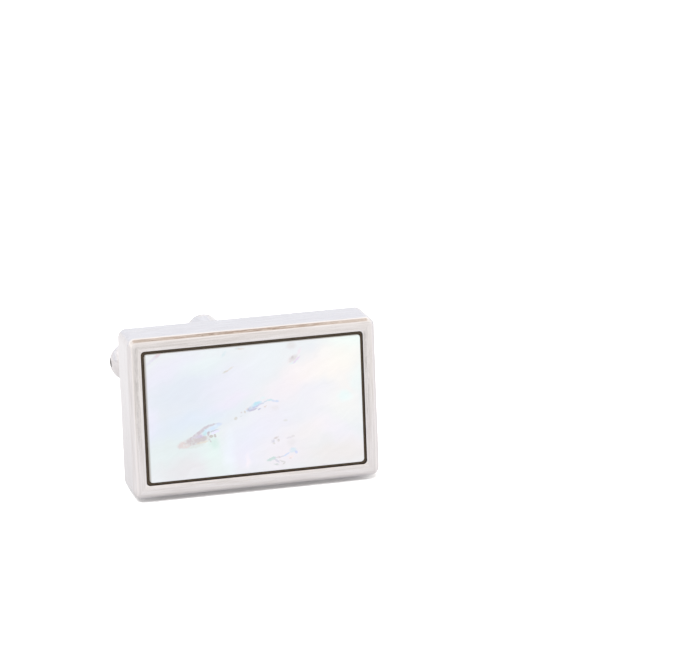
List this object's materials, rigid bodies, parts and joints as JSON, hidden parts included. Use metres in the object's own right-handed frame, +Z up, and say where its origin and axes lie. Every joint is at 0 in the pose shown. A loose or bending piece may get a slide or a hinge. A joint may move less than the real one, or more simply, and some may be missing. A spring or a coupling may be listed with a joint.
{
  "type": "cufflink",
  "caption": "Rectangular bright metal cufflink with a mother-of-pearl inlay, a forked post and a swivel bar that turns in line with the post to pass a buttonhole.",
  "frame": {"origin": "on the table that the cufflink lies on, under the middle of its box", "axes": "+Z up, the face towards -Y and leaning back, the long edge of the case along X"},
  "size_m": [0.02, 0.0212, 0.0135],
  "materials": {
    "rhodium_plate": "polished",
    "black_resin": "smooth",
    "mother_of_pearl": "polished"
  },
  "bodies": {
    "link": {"case": "rhodium_plate", "black_bed": "black_resin", "pearl_inlay": "mother_of_pearl", "hinge_pin": "rhodium_plate"},
    "bar": {"toggle_bar": "rhodium_plate"}
  },
  "joints": [
    {"name": "bar_swivel", "type": "hinge", "parent": "link", "child": "bar", "pos_m": [0, 0.00876, 0.00336], "axis": [0, 0.2053, 0.9787], "range_deg": [-90, 90]}
  ]
}
